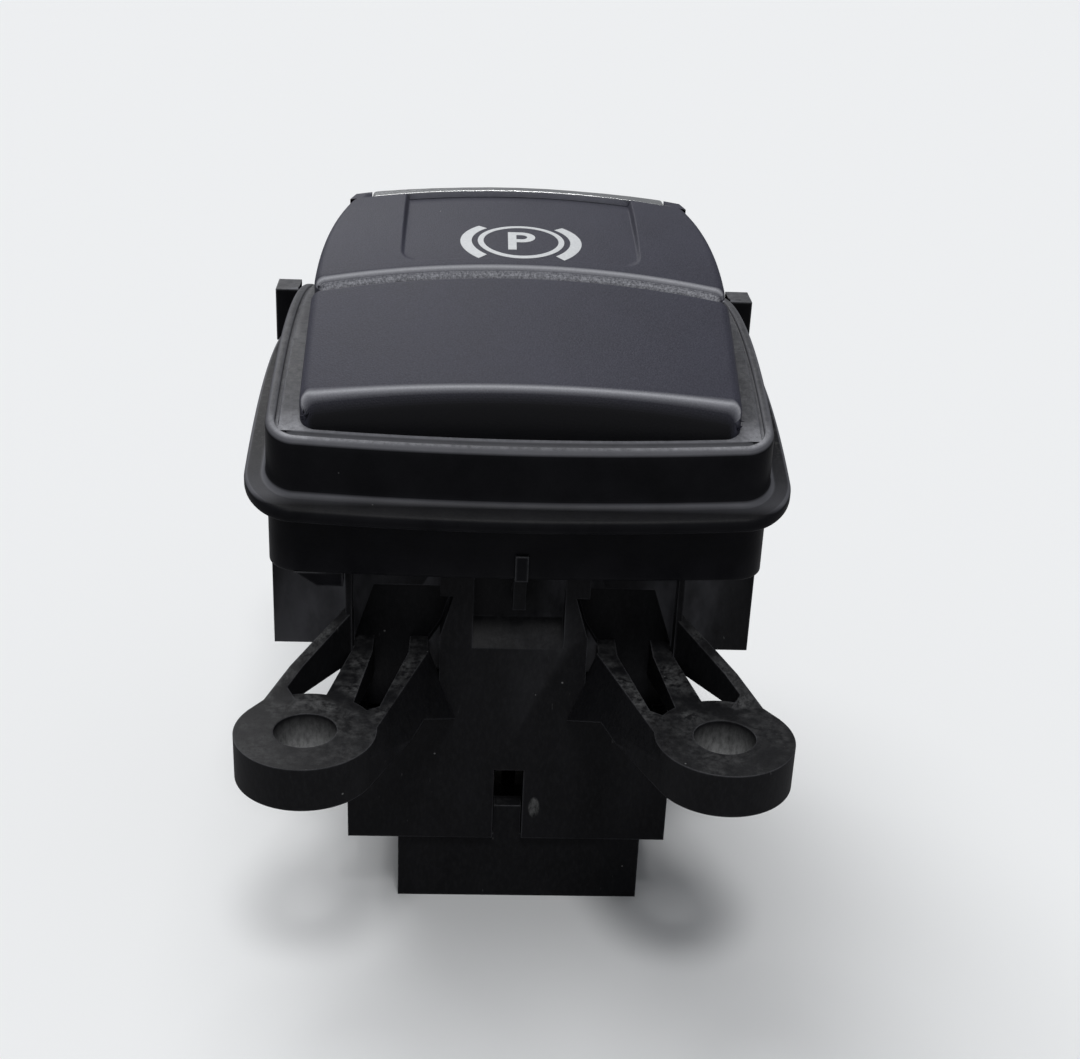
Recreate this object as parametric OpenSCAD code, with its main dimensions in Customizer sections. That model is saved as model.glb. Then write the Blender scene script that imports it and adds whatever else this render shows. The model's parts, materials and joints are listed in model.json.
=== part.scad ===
// Electric parking brake switch for the centre console of a car.
// A trim frame with a fixed hood, a button that is pulled up or pushed down at its rear edge,
// and a black body with two screw arms, a connector and the switching parts inside.
// X runs across the switch, Y from its front to its rear, Z up from the connector's mouth.

/* [Trim frame] */
// Width of the flange that covers the console's cut-out
flange_w = 50; // [49:0.5:54]
// Depth of the flange, front to rear
flange_d = 50.2; // [50:0.2:54]
// Thickness of the flange
flange_t = 1.3; // [1:0.1:1.8]
// Radius of the flange's corners seen from above
flange_corner = 3.6; // [2:0.2:5]
// Radius of the arc that the flange follows from front to rear
flange_arc = 64.6; // [60:0.2:75]
// Height of the flange at the top of its arc
flange_top = 49.8; // [49:0.1:50.6]
// Width of the raised rim on the flange
rim_w = 45.8; // [45:0.1:47.4]
// Thickness of the rim's wall
rim_wall = 1.4; // [1:0.1:1.7]
// Radius of the arc that the rim's top follows
rim_arc = 60; // [56:0.5:70]
// Height of the rim at the top of its arc
rim_top = 55.1; // [54.6:0.1:55.4]
// Thickness of the ledge round the hood
ledge_t = 1.6; // [1.2:0.1:2]
// Width of the collar under the flange
collar_w = 45.4; // [44:0.1:45.8]
// Thickness of the collar's wall
collar_wall = 1.4; // [1:0.1:1.8]
// Width of each rear ear
ear_w = 2.4; // [1.6:0.1:2.6]
// Depth of each rear ear
ear_d = 3.7; // [2:0.1:5]
// Radius of the finger well behind the button
well_r = 7; // [6:0.1:7.4]
// Length of the finger well across the switch
well_l = 35; // [28:0.5:38]

/* [Hood and button] */
// Width of the hood and of the button's front
cap_w = 39.6; // [38:0.1:40.2]
// Radius of the arc that hood and button follow from front to rear
cap_arc = 51.6; // [49:0.1:56]
// Height of the button at the top of its arc
cap_top = 65.1; // [64.6:0.1:65.8]
// Radius of the crown across hood and button
crown_r = 110; // [90:1:160]
// Radius of the rounded side edges
edge_r = 1.3; // [0.6:0.1:1.8]
// Wall of the hood
hood_wall = 1.6; // [1.2:0.1:1.8]
// Wall of the button's cap
cap_wall = 1.4; // [1:0.1:1.7]
// Gap between the hood and the button's front wall
seam_gap = 1.4; // [1.2:0.05:1.7]
// Radius of the curve by which the button narrows to the rear
side_arc = 64; // [50:1:90]
// Depth of the finger dish in the button's top
dish_depth = 0.7; // [0.3:0.05:1]
// Half width of the finger dish
dish_half = 11.5; // [9:0.1:13]
// Length of the bright strip on the button's rear edge
strip_l = 30.2; // [24:0.1:31]
// Depth of the bright strip
strip_d = 1.7; // [1.2:0.1:2]
// Height of the bright strip's inner edge
strip_h = 2.4; // [1.8:0.1:2.6]

/* [Hinge] */
// Radius of the steel hinge pin
pin_r = 1.05; // [0.9:0.05:1.3]
// Height of the hinge axis
hinge_z = 51.5; // [51.2:0.1:51.9]
// Running clearance of the rocker on its pin
pin_fit = 0.05; // [0.03:0.01:0.1]
// Wall of the bearing round the hinge pin
bearing_wall = 1.9; // [1.4:0.1:2.1]

/* [Body] */
// Width of the lower block
block_w = 31.6; // [31:0.1:33]
// Depth of the body, front to rear
body_d = 43.2; // [42.8:0.1:44]
// Height of the block's lower edge above the connector's mouth
block_bottom = 7.6; // [7:0.1:9]
// Wall of the body
body_wall = 1.8; // [1.5:0.1:2]
// Width across the wings
wing_w = 45.9; // [45.8:0.1:47]
// Height of the wings' lower edge
wing_bottom = 27.4; // [26.5:0.1:28.5]
// Depth of the wings, front to rear
wing_d = 35.4; // [33:0.1:37]
// Height at which the collar sits on the wings
collar_bottom = 37.6; // [37.4:0.1:38]
// Height of the body's upper edge inside the collar
tower_top = 43; // [42:0.1:43.4]

/* [Screw arms] */
// Distance between the two screw holes
lug_pitch = 36.6; // [35:0.1:40]
// Distance of the screw holes in front of the body
lug_reach = 14.1; // [12.5:0.1:16]
// Radius of the screw holes
lug_hole_r = 2.75; // [2:0.05:3.2]
// Radius of the arm's round end
lug_r = 6.2; // [5.5:0.1:7]
// Height of the arm's upper face at the screw hole
lug_top = 28.7; // [27:0.1:30]
// Thickness of the arm at the screw hole
lug_t = 4.1; // [3:0.1:5]
// Thickness of the arm's ribs
rib_t = 1.5; // [1.2:0.1:1.8]

/* [Connector] */
// Width of the connector's shroud
conn_w = 24.3; // [22:0.1:24.8]
// Depth of the connector's shroud, front to rear
conn_d = 30; // [28:0.5:34]
// Wall of the connector's shroud
conn_wall = 1.4; // [1.1:0.1:1.7]
// Offset of the connector to the right of the middle
conn_x = 1.3; // [0.8:0.1:1.6]
// Depth of the plug's socket, front to rear
socket_d = 13; // [11:0.1:14]
// Terminals in each of the two rows
pins_per_row = 5; // [3:1:5]
// Distance between the terminals of a row
pin_pitch = 2.2; // [1.8:0.1:2.2]
// Distance between the two rows
row_pitch = 4.5; // [3:0.1:5]
// Width of a terminal
blade_w = 0.8; // [0.6:0.1:1]
// Thickness of a terminal
blade_t = 0.6; // [0.4:0.1:0.8]

/* [Switching parts] */
// Thickness of the circuit board
board_t = 1.6; // [1:0.1:2]
// Height of the circuit board's underside
board_z = 24; // [22.5:0.1:24.5]
// Distance of the pull plungers in front of the hinge
pull_arm = 6.3; // [6:0.1:6.6]
// Distance of the push plungers behind the hinge
push_arm = 9; // [8.4:0.1:10]
// Distance of each plunger from the middle
plunger_x = 9.5; // [9.3:0.1:10]
// Radius of a plunger's rod
rod_r = 1.8; // [1.5:0.05:1.9]
// Running clearance of a plunger in its guide
rod_fit = 0.05; // [0.03:0.01:0.1]
// Radius of a key switch's stem
stem_r = 1.7; // [1.4:0.05:1.75]
// Width of a key switch
key_w = 6.2; // [5.8:0.1:6.4]
// Height of a key switch's case
key_h = 3.4; // [3:0.1:3.6]
// Wire radius of a plunger spring
wire_r = 0.3; // [0.25:0.05:0.35]
// Turns of a plunger spring
spring_turns = 4; // [3:1:5]
// Radius of the light guide
guide_r = 2.7; // [2.2:0.1:2.8]

/* [Hidden] */
row_count = 2;
pin_count = row_count * pins_per_row;
SIDES = ["left", "right"];
TERMINALS = [for (i = [1:pin_count]) str("terminal_", i)];
PULL_PARTS = [for (s = SIDES, p = ["plunger", "stem", "key", "spring"]) str("pull_", p, "_", s)];
PUSH_PARTS = [for (s = SIDES, p = ["plunger", "stem", "key", "spring"]) str("push_", p, "_", s)];

// The drawing frame has Y = 0 on the body's front face. The part's origin lies this far behind it.
origin_y = 13.2;
mid_y = body_d / 2;
seat = 0.1;
air = 0.3;
far = 100;
eps = 0.01;
$fn = 64;
arc_fn = 240;

rim_d = body_d + 2 * (seat + collar_wall);
rim_corner = 3;
tower_w = collar_w - 2 * (collar_wall + seat);
deck_z = collar_bottom + 0.4;
deck_t = 2;
deck_top = deck_z + deck_t;
shelf_t = 2;

// The hood ends here, and the button's front wall starts one gap behind it.
hood_front = 1.3;
hood_rear = 13.9;
hood_base = 50;
hood_drop = 2;
hood_lift = 0.6;
nose_z = 51.4;
nose_slope = 1.4;
button_front = hood_rear + seam_gap;
button_w = cap_w - 0.2;
diffuser_z = 58.6;
ear_front = 32.6;
ear_top = 53.8;
cap_crest_y = 34.7;
front_wall_z = 56;
skirt_z = 50;
lip_y = 34.2;
rear_wall_y = 31.2;
lip_r = 5.4;
lip_t = 0.8;
lip_half = 17.7;
lip_front = 11.6;
dish_front = 17;
opening_front = hood_rear + 0.4;
opening_rear = rear_wall_y + 1.3;
well_y = 38.8;
well_z = rim_top + 0.4;

hinge_y = button_front + 0.2;
nose_r = 1.2;
nose_gap = 0.1;
hub_r = pin_r + pin_fit + bearing_wall - 0.2;
bearing_x = 15.5;
bearing_t = 2.2;
plunger_top = hinge_z - nose_r - nose_gap;

board_top = board_z + board_t;
key_floor = 0.7;
stem_bottom = board_top + 1.7;
stem_top = board_top + key_h + 1.7;
spring_z = deck_top + 6;
collar_t = 1.2;
tube_r = rod_r + rod_fit + 1.5;
tube_drop = 5;

conn_left = conn_x - conn_w / 2;
conn_front = 0.7;
plate_t = 2;
row_y = 7;
blade_z = 1.8;
blade_top = board_top + 1;
blade_fit = 0.05;
guide_y = hinge_y + 6.3;

slot_w = 2.9;
slot_top = 15.6;
tongue_top = 11;
recess_d = 2.2;
arm_root_in = 5.5;
arm_root_out = block_w / 2;
root_bottom = 21.3;
root_top = 31.2;
pocket_left = -3.9;
pocket_right = 4.7;
pocket_bottom = 29.2;

trim_black = [0.06, 0.06, 0.065];
soft_grey = [0.23, 0.235, 0.26];
body_black = [0.045, 0.045, 0.05];
chrome_silver = [0.86, 0.87, 0.88];
steel_grey = [0.62, 0.63, 0.65];
acetal_white = [0.9, 0.89, 0.85];
board_green = [0.05, 0.28, 0.14];
tin_silver = [0.78, 0.77, 0.72];

// Height of an arc with radius r and its crest at (crest_y, crest_z), at the place y.
function arc_z(r, crest_y, crest_z, y) = crest_z - r + sqrt(r * r - (y - crest_y) * (y - crest_y));

// Fall of the crown at x, beside its height on the middle line.
function crown(x) = x * x / (2 * crown_r);

// Button: height on the middle line.
function button_z(y) = arc_z(cap_arc, cap_crest_y, cap_top, y);

// Hood: height on the middle line.
function hood_z(y) = arc_z(cap_arc, cap_crest_y + hood_drop, cap_top + hood_lift, y);

// Solid between rings of equal length, one behind the other.
module loft(rings) {
    n = len(rings[0]);
    last = len(rings) - 1;
    points = [for (ring = rings, p = ring) p];
    sides = [for (k = [0:last - 1], i = [0:n - 1]) let (j = (i + 1) % n)
        each [[k * n + i, k * n + j, (k + 1) * n + j], [k * n + i, (k + 1) * n + j, (k + 1) * n + i]]];
    ends = [[for (i = [n - 1:-1:0]) i], [for (i = [0:n - 1]) last * n + i]];
    polyhedron(points, concat(sides, ends), convexity = 6);
}

module at_origin() {
    translate([0, -origin_y, 0]) children();
}

// Box between two corners.
module box(low, high) {
    translate(low) cube(high - low);
}

module rounded_rect(w, d, r) {
    square([w - 2 * r, d], center = true);
    square([w, d - 2 * r], center = true);
    for (x = [-1, 1], y = [-1, 1])
        translate([x * (w / 2 - r), y * (d / 2 - r)]) circle(r);
}

// Upright block with rounded corners, centred on the body.
module plan_block(w, d, r, z0, z1) {
    translate([0, mid_y, z0]) linear_extrude(z1 - z0) rounded_rect(w, d, r);
}

// Everything below an arc that runs from front to rear.
module below_arc(r, top) {
    translate([0, mid_y, top - r]) rotate([0, 90, 0]) cylinder(r = r, h = far, center = true, $fn = arc_fn);
}

// Round bar across the switch.
module cross_bar(r, y, z, x0, x1, fn = 48) {
    translate([x0, y, z]) rotate([0, 90, 0]) cylinder(r = r, h = x1 - x0, $fn = fn);
}

module both_sides() {
    children();
    mirror([1, 0, 0]) children();
}

// Round drum lying across the switch: its top is an arc from front to rear and crowned across.
// r is the radius on the middle line, half its half width and edge the radius of its side edges.
module drum(r, half, edge, crest_y, crest_z) {
    bands = 10;
    steps = 4;
    flat = half - edge;
    rise = [for (i = [0:bands]) let (x = -flat + 2 * flat * i / bands) [r - crown(x), x]];
    fall = r - crown(flat) - edge;
    profile = concat([[0, -half]],
        [for (i = [0:steps - 1]) [fall + edge * sin(90 * i / steps), -flat - edge * cos(90 * i / steps)]],
        rise,
        [for (i = [steps - 1:-1:0]) [fall + edge * sin(90 * i / steps), flat + edge * cos(90 * i / steps)]],
        [[0, half]]);
    translate([0, crest_y, crest_z - r]) rotate([0, 90, 0]) rotate_extrude($fn = arc_fn) polygon(profile);
}

// Prism across the switch from a side view given as [y, z] points.
module side_prism(points, half) {
    translate([-half, 0, 0]) rotate([90, 0, 90]) linear_extrude(2 * half) polygon(points);
}

// Hood: steep front with a rounded upper edge, then the drum's arc. inset is 0 outside.
module hood_form(inset, rear) {
    y0 = hood_front + inset;
    side_prism([[y0, 0], [y0, nose_z - inset], [rear, nose_z - inset + nose_slope * (rear - y0)], [rear, 0]], cap_w);
}

module hood_drum(inset) {
    drum(cap_arc - inset, cap_w / 2 - inset, max(0.4, edge_r - inset), cap_crest_y + hood_drop,
        cap_top + hood_lift - inset);
}

// Bezel: flange, rim with ledge, collar, finger well and ears, with the hood moulded on.
module flange() {
    intersection() {
        difference() {
            below_arc(flange_arc, flange_top);
            below_arc(flange_arc - flange_t, flange_top - flange_t);
        }
        plan_block(flange_w, flange_d, flange_corner, collar_bottom, rim_top);
    }
}

module rim_and_collar() {
    intersection() {
        plan_block(rim_w, rim_d, rim_corner, flange_top - 6, rim_top + 1);
        below_arc(rim_arc, rim_top);
    }
    plan_block(collar_w, rim_d, rim_corner, collar_bottom, flange_top - 5);
}

// Space under the ledge and inside the collar.
module bezel_hollow() {
    intersection() {
        plan_block(collar_w - 2 * collar_wall, rim_d - 2 * collar_wall, rim_corner - collar_wall,
            collar_bottom - 1, rim_top);
        below_arc(rim_arc - ledge_t, rim_top - ledge_t);
    }
}

module well_bar(r, l) {
    cross_bar(r, well_y, well_z, -l / 2, l / 2, 96);
}

module bezel() {
    opening_x = rim_w / 2 - rim_wall;
    well_rear = mid_y + rim_d / 2 - rim_wall;
    color(trim_black) at_origin() {
        difference() {
            union() {
                flange();
                difference() {
                    rim_and_collar();
                    bezel_hollow();
                }
                intersection() {
                    well_bar(well_r + rim_wall, well_l + 2 * rim_wall);
                    below_arc(rim_arc, rim_top);
                    box([-far, opening_rear, skirt_z - 5], [far, well_rear + eps, far]);
                }
                intersection() {
                    hood_form(0, hood_rear);
                    hood_drum(0);
                    box([-far, 0, hood_base], [far, far, far]);
                }
            }
            intersection() {
                hood_form(hood_wall, hood_rear + 5);
                hood_drum(hood_wall);
            }
            box([-opening_x, opening_front, skirt_z - 6], [opening_x, opening_rear, far]);
            intersection() {
                well_bar(well_r, well_l);
                box([-far, opening_rear - 1, skirt_z - 5], [far, well_rear, far]);
            }
        }
        both_sides()
            box([rim_w / 2 - eps, ear_front, flange_top - 1.6], [rim_w / 2 + ear_w, ear_front + ear_d, ear_top]);
    }
}

// Button cap: a crowned shell with a skirt, a finger dish and an undercut rear lip.
module button_drum(inset, half) {
    drum(cap_arc - inset, half, max(0.4, edge_r - inset), cap_crest_y, cap_top - inset);
}

// Seen from above the button's sides are two arcs that close in towards the rear.
module button_plan(inset) {
    linear_extrude(far)
        intersection() {
            translate([button_w / 2 - side_arc, button_front]) circle(side_arc - inset, $fn = 360);
            translate([side_arc - button_w / 2, button_front]) circle(side_arc - inset, $fn = 360);
        }
}

module dish_cut(inset, grow) {
    r = 2;
    w = dish_half + grow;
    difference() {
        linear_extrude(far)
            union() {
                translate([-w, dish_front - grow + r]) square([2 * w, 2 * lip_y]);
                translate([-w + r, dish_front - grow]) square([2 * (w - r), 2 * lip_y]);
                for (x = [-1, 1]) translate([x * (w - r), dish_front - grow + r]) circle(r, $fn = 32);
            }
        button_drum(inset + dish_depth, cap_w);
    }
}

// Lip round the hinge axis that closes the gap behind the hood, whichever way the button tilts.
module seam_lip() {
    intersection() {
        difference() {
            cross_bar(lip_r, hinge_y, hinge_z, -lip_half, lip_half, 96);
            cross_bar(lip_r - lip_t, hinge_y, hinge_z, -far, far, 96);
        }
        box([-far, lip_front, hinge_z], [far, button_front + cap_wall, far]);
    }
}

module button() {
    wall_end = button_front + cap_wall;
    undercut = cap_top - strip_h - 0.2 - skirt_z;
    color(soft_grey) at_origin() {
        seam_lip();
        difference() {
            intersection() {
                button_drum(0, button_w / 2);
                button_plan(0);
                side_prism(concat([[button_front, front_wall_z], [button_front, far], [lip_y, far]],
                    [for (i = [6:-1:0]) [rear_wall_y + (lip_y - rear_wall_y) * (1 - cos(15 * i)),
                        skirt_z + undercut * sin(15 * i)]],
                    [[wall_end, skirt_z], [wall_end, front_wall_z]]), cap_w);
            }
            difference() {
                intersection() {
                    button_drum(cap_wall, button_w / 2 - cap_wall);
                    button_plan(cap_wall);
                    box([-far, wall_end, 0], [far, rear_wall_y - cap_wall, far]);
                }
                dish_cut(cap_wall, cap_wall / 2);
            }
            dish_cut(0, 0);
            box([-strip_l / 2 - seat, lip_y - strip_d - seat, cap_top - strip_h - 0.2],
                [strip_l / 2 + seat, far, far]);
        }
    }
}

// Bright strip in the notch of the button's rear lip.
module chrome_strip() {
    color(chrome_silver) at_origin()
        intersection() {
            drum(cap_arc, strip_l / 2, 0.4, cap_crest_y, cap_top);
            side_prism([[lip_y - strip_d, cap_top - strip_h], [lip_y - strip_d, far], [lip_y - 0.5, far],
                [lip_y - 0.5, cap_top - 0.2], [lip_y, cap_top - 0.9], [lip_y, cap_top - strip_h]], cap_w);
        }
}

// Milky insert under the skin that spreads the light behind the symbol.
module symbol_diffuser() {
    color(acetal_white) at_origin()
        intersection() {
            button_drum(cap_wall + dish_depth + seat / 2, cap_w);
            box([-6.5, dish_front + 1, diffuser_z], [6.5, dish_front + 8.5, far]);
        }
}

// Rocker that carries the button on the hinge pin and presses the four plungers.
module rocker_arm(x, reach) {
    y0 = min(hinge_y, hinge_y + reach);
    y1 = max(hinge_y, hinge_y + reach);
    box([x - 1.5, y0, hinge_z - nose_r + 0.3], [x + 1.5, y1, hinge_z + nose_r]);
    cross_bar(nose_r, hinge_y + reach, hinge_z, x - 1.5, x + 1.5);
}

module rocker() {
    post_x = 14;
    post_r = 1.2;
    tray_z = hinge_z + 2.2;
    tray_t = 1.4;
    tray_rear = 28.8;
    window_x = guide_r + 1.6;
    window_front = guide_y - guide_r - 0.7;
    window_rear = guide_y + guide_r + 1.6;
    color(acetal_white) at_origin()
        difference() {
            union() {
                cross_bar(hub_r, hinge_y, hinge_z, -bearing_x + air, bearing_x - air);
                for (x = [-1, 1]) {
                    rocker_arm(x * plunger_x, -pull_arm);
                    rocker_arm(x * plunger_x, push_arm);
                    box([x * plunger_x - 1.5, hinge_y, hinge_z + nose_r - eps],
                        [x * plunger_x + 1.5, hinge_y + push_arm, tray_z + eps]);
                    for (y = [19, 27.6])
                        translate([x * post_x, y, tray_z])
                            cylinder(r = post_r, h = button_z(y - post_r) - crown(post_x + post_r) - cap_wall - seat
                                - tray_z, $fn = 32);
                }
                box([-post_x - 1.4, hinge_y + 1.5, tray_z], [post_x + 1.4, tray_rear, tray_z + tray_t]);
            }
            cross_bar(pin_r + pin_fit, hinge_y, hinge_z, -far, far);
            box([-window_x, window_front, tray_z - 1], [window_x, window_rear, tray_z + tray_t + 1]);
        }
}

module pivot_pin() {
    color(steel_grey) at_origin()
        cross_bar(pin_r, hinge_y, hinge_z, -bearing_x - bearing_t, bearing_x + bearing_t);
}

// Inner deck: guides the plungers and carries the hinge pin in two bearing posts.
module bearing_post() {
    r = pin_r + bearing_wall;
    cross_bar(r, hinge_y, hinge_z, bearing_x, bearing_x + bearing_t);
    box([bearing_x, hinge_y - r, deck_top - eps], [bearing_x + bearing_t, hinge_y + r, hinge_z]);
}

module plunger_guide() {
    color(acetal_white) at_origin()
        difference() {
            union() {
                plan_block(tower_w - 2 * (body_wall + seat), body_d - 2 * (body_wall + seat), 1, deck_z, deck_top);
                for (x = [-1, 1], y = [-pull_arm, push_arm])
                    translate([x * plunger_x, hinge_y + y, deck_z - tube_drop])
                        cylinder(r = tube_r, h = tube_drop + eps, $fn = 48);
                both_sides() bearing_post();
            }
            for (x = [-1, 1], y = [-pull_arm, push_arm])
                translate([x * plunger_x, hinge_y + y, 0]) cylinder(r = rod_r + rod_fit, h = deck_top + 1, $fn = 48);
            translate([0, guide_y, 0]) cylinder(r = guide_r + seat, h = deck_top + 1, $fn = 48);
            cross_bar(pin_r + 0.01, hinge_y, hinge_z, -far, far);
        }
}

// One plunger: rod, spring collar and head.
module plunger(x, reach) {
    color(soft_grey) at_origin()
        translate([x, hinge_y + reach, 0]) {
            translate([0, 0, stem_top]) cylinder(r = rod_r, h = spring_z - stem_top + eps, $fn = 48);
            translate([0, 0, spring_z]) cylinder(r = rod_r + 1.4, h = collar_t, $fn = 48);
            translate([0, 0, spring_z + collar_t - eps])
                cylinder(r = rod_r + 0.6, h = plunger_top - spring_z - collar_t + eps, $fn = 48);
        }
}

// Stem of a key switch, under its plunger.
module stem(x, reach) {
    color(trim_black) at_origin()
        translate([x, hinge_y + reach, stem_bottom]) cylinder(r = stem_r, h = stem_top - stem_bottom, $fn = 48);
}

// Case of a key switch on the circuit board.
module key(x, reach) {
    color(body_black) at_origin()
        translate([x, hinge_y + reach, board_top])
            difference() {
                translate([-key_w / 2, -key_w / 2, 0]) cube([key_w, key_w, key_h]);
                translate([0, 0, key_floor]) cylinder(r = stem_r + rod_fit, h = key_h, $fn = 48);
            }
}

// Coil spring between the deck and the plunger's collar.
module spring(x, reach) {
    per_turn = 14;
    sides = 6;
    coil_r = rod_r + 0.3 + 2 * wire_r;
    h = spring_z - deck_top;
    steps = spring_turns * per_turn;
    rings = [for (k = [0:steps])
        let (a = 360 * k / per_turn, z = wire_r + (h - 2 * wire_r) * k / steps)
        [for (i = [0:sides - 1]) let (b = 360 * i / sides, r = coil_r + wire_r * cos(b))
            [r * cos(a), r * sin(a), z + wire_r * sin(b)]]];
    color(steel_grey) at_origin()
        translate([x, hinge_y + reach, deck_top]) loft(rings);
}

module pull_part(kind, side) {
    x = (side == "left" ? -1 : 1) * plunger_x;
    plunger_part(kind, x, -pull_arm);
}

module push_part(kind, side) {
    x = (side == "left" ? -1 : 1) * plunger_x;
    plunger_part(kind, x, push_arm);
}

module plunger_part(kind, x, reach) {
    if (kind == "plunger") plunger(x, reach);
    if (kind == "stem") stem(x, reach);
    if (kind == "key") key(x, reach);
    if (kind == "spring") spring(x, reach);
}

// Clear rod that leads the light of both diodes up to the diffuser.
module light_guide() {
    z0 = board_top + 1.5;
    color([0.8, 0.85, 0.9, 0.5]) at_origin()
        translate([0, guide_y, z0]) cylinder(r = guide_r, h = hinge_z + 5 - z0, $fn = 48);
}

module led(x, tint) {
    color(tint) at_origin()
        box([x - 0.8, guide_y - 1, board_top], [x + 0.8, guide_y + 1, board_top + 1.2]);
}

module led_white() {
    led(-1.2, [0.95, 0.94, 0.8]);
}

module led_red() {
    led(1.2, [0.85, 0.2, 0.15]);
}

// Coding resistors on the circuit board.
module resistors() {
    color(body_black) at_origin()
        for (i = [0:5])
            box([-8 + i * 3.2 - 1, 31, board_top], [-8 + i * 3.2 + 1, 32.3, board_top + 0.6]);
}

module circuit_board() {
    front = body_wall + recess_d + 0.3;
    color(board_green) at_origin()
        difference() {
            box([-block_w / 2 + body_wall + 0.2, front, board_z],
                [block_w / 2 - body_wall - 0.2, body_d - body_wall - 0.2, board_top]);
            for (i = [1:pin_count]) blade_slot(i);
        }
}

// Terminal i runs from the connector up through the cover and the circuit board.
function blade_x(i) = conn_x + ((i - 1) % pins_per_row - (pins_per_row - 1) / 2) * pin_pitch;
function blade_y(i) = row_y + floor((i - 1) / pins_per_row) * row_pitch;

module blade_slot(i) {
    box([blade_x(i) - blade_w / 2 - blade_fit, blade_y(i) - blade_t / 2 - blade_fit, 0],
        [blade_x(i) + blade_w / 2 + blade_fit, blade_y(i) + blade_t / 2 + blade_fit, far]);
}

module terminal(i) {
    color(tin_silver) at_origin()
        box([blade_x(i) - blade_w / 2, blade_y(i) - blade_t / 2, blade_z],
            [blade_x(i) + blade_w / 2, blade_y(i) + blade_t / 2, blade_top]);
}

// Base cover: closes the body, holds the circuit board on four posts and carries the connector.
module base_cover() {
    half = block_w / 2 - body_wall - seat;
    front = body_wall + seat;
    rear = body_d - body_wall - seat;
    top = block_bottom + plate_t;
    latch_front = conn_front + socket_d + 2 * conn_wall;
    color(body_black) at_origin()
        difference() {
            union() {
                box([-half, front, block_bottom], [half, rear, top]);
                box([conn_left, conn_front, 0], [conn_left + conn_w, conn_front + conn_d, block_bottom]);
                for (x = [-1, 1], y = [6.5, rear - 4])
                    translate([x * (half - 2.4), y, top - eps]) cylinder(r = 1.8, h = board_z - top + eps, $fn = 32);
                box([-slot_w / 2 + seat, 0.7, block_bottom], [slot_w / 2 - seat, front + 0.5, tongue_top]);
            }
            box([conn_left + conn_wall, conn_front + conn_wall, -1],
                [conn_left + conn_w - conn_wall, conn_front + conn_wall + socket_d, block_bottom]);
            box([conn_x - 6, latch_front, -1], [conn_x + 6, conn_front + conn_d - conn_wall, block_bottom]);
            for (i = [1:pin_count]) blade_slot(i);
        }
}

// Seen from above: round end and the two straight sides back to the body.
module arm_plan() {
    cx = lug_pitch / 2;
    cy = -lug_reach;
    translate([cx, cy]) circle(lug_r, $fn = 96);
    polygon([[cx - lug_r * 0.92, cy - lug_r * 0.39], [cx + lug_r * 0.85, cy - lug_r * 0.1],
        [cx + lug_r * 0.83, cy + lug_r * 0.3], [arm_root_out, 1], [arm_root_in, 1]]);
}

// Seen from the side: level at the screw hole, deeper at the body.
module arm_side() {
    y0 = -lug_reach - lug_r - 1;
    y1 = -lug_reach + lug_r * 0.6;
    rotate([90, 0, 90])
        linear_extrude(lug_pitch)
            polygon([[y0, lug_top - lug_t], [y1, lug_top - lug_t], [1, root_bottom - 0.3],
                [1, root_top + 0.3], [y1, lug_top], [y0, lug_top]]);
}

// Two openings between the arm's three ribs.
module arm_windows() {
    cx = lug_pitch / 2;
    near = -lug_reach + lug_r * 0.9;
    mid = (arm_root_in + arm_root_out) / 2;
    translate([0, 0, root_bottom - 2]) linear_extrude(20) {
        polygon([[cx - 3.6, near], [cx - 0.9, near], [mid - rib_t / 2, 0], [arm_root_in + rib_t, 0]]);
        polygon([[cx + 0.5, near], [cx + 2.9, near], [arm_root_out - rib_t, 0], [mid + rib_t / 2, 0]]);
    }
}

module screw_arm() {
    difference() {
        intersection() {
            translate([0, 0, root_bottom - 1]) linear_extrude(14) arm_plan();
            arm_side();
        }
        arm_windows();
        translate([lug_pitch / 2, -lug_reach, 0]) cylinder(r = lug_hole_r, h = far, $fn = 64);
    }
}

// Body: lower block, wings, inner collar and the two screw arms.
module housing_outside() {
    box([-block_w / 2, 0, block_bottom], [block_w / 2, body_d, collar_bottom]);
    box([-wing_w / 2, mid_y - wing_d / 2, wing_bottom], [wing_w / 2, mid_y + wing_d / 2, collar_bottom]);
    plan_block(tower_w, body_d, rim_corner - collar_wall - seat, collar_bottom - eps, tower_top);
    both_sides() screw_arm();
}

module housing_inside() {
    in_x = block_w / 2 - body_wall;
    wing_x = wing_w / 2 - body_wall;
    wing_front = mid_y - wing_d / 2 + body_wall;
    tower_x = tower_w / 2 - body_wall;
    shelf_z = deck_z - shelf_t;
    box([-in_x, body_wall, 0], [in_x, body_d - body_wall, board_top]);
    box([-in_x, body_wall + recess_d, board_z], [in_x, body_d - body_wall, shelf_z]);
    box([-wing_x, wing_front, wing_bottom + body_wall], [wing_x, body_d - wing_front, shelf_z]);
    box([-tower_x + 1.4, body_wall + recess_d, shelf_z - eps], [tower_x - 1.4, body_d - body_wall - 1.4, deck_z + eps]);
    plan_block(2 * tower_x, body_d - 2 * body_wall, 1, deck_z, far);
}

module housing() {
    color(body_black) at_origin()
        difference() {
            housing_outside();
            housing_inside();
            box([-slot_w / 2, -1, 0], [slot_w / 2, body_wall + 1, slot_top]);
            translate([pocket_left, 0, 0]) rotate([90, 0, 90])
                linear_extrude(pocket_right - pocket_left)
                    polygon([[-1, pocket_bottom - 1], [recess_d, pocket_bottom + 2.4], [recess_d, collar_bottom],
                        [-1, collar_bottom]]);
            both_sides()
                box([arm_root_in + rib_t, -eps, root_bottom + 2], [arm_root_out - 0.6, recess_d, collar_bottom]);
        }
}

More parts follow.
